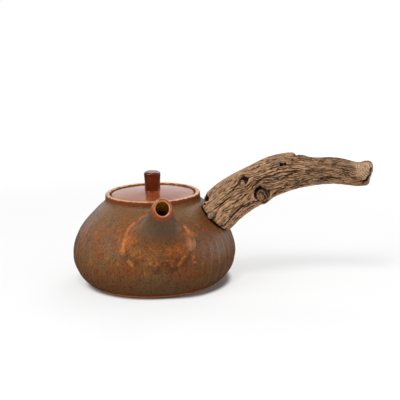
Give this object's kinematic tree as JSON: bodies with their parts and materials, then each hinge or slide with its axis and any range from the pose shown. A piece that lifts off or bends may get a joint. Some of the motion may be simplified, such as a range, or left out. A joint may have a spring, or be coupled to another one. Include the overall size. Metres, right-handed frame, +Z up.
{
  "type": "side handle teapot",
  "caption": "Squat stoneware teapot with a flared front spout and inner strainer, drop-in lid with peg knob, and a bent weathered-wood side handle pinned on a clay stub.",
  "frame": {"origin": "middle of the flat foot, on the surface the pot stands on", "axes": "+Z up through the lid's knob, +X along the wooden handle away from the pot; the spout points 75 degrees clockwise from +X seen from above, towards -Y"},
  "size_m": [0.1931, 0.1209, 0.0844],
  "materials": {
    "body_glaze": "satin olive brown iron glaze with rust flecks",
    "inner_clay": "matt unglazed clay",
    "lid_glaze": "gloss red brown iron glaze",
    "black_filler": "matt black lacquer filler",
    "bamboo": "pared bamboo end grain",
    "weathered_wood": "dry grooved weathered wood"
  },
  "bodies": {
    "pot": {"pot_body": "body_glaze", "spout": "body_glaze", "strainer": "inner_clay", "handle_stub": "inner_clay", "handle_bedding": "black_filler", "handle_peg": "bamboo", "handle": "weathered_wood"},
    "lid": {"lid": "lid_glaze", "lid_knob": "lid_glaze"}
  },
  "joints": [
    {"name": "lid_lift", "type": "slide", "parent": "pot", "child": "lid", "axis": [0, 0, 1], "range_m": [0, 0.06]}
  ]
}
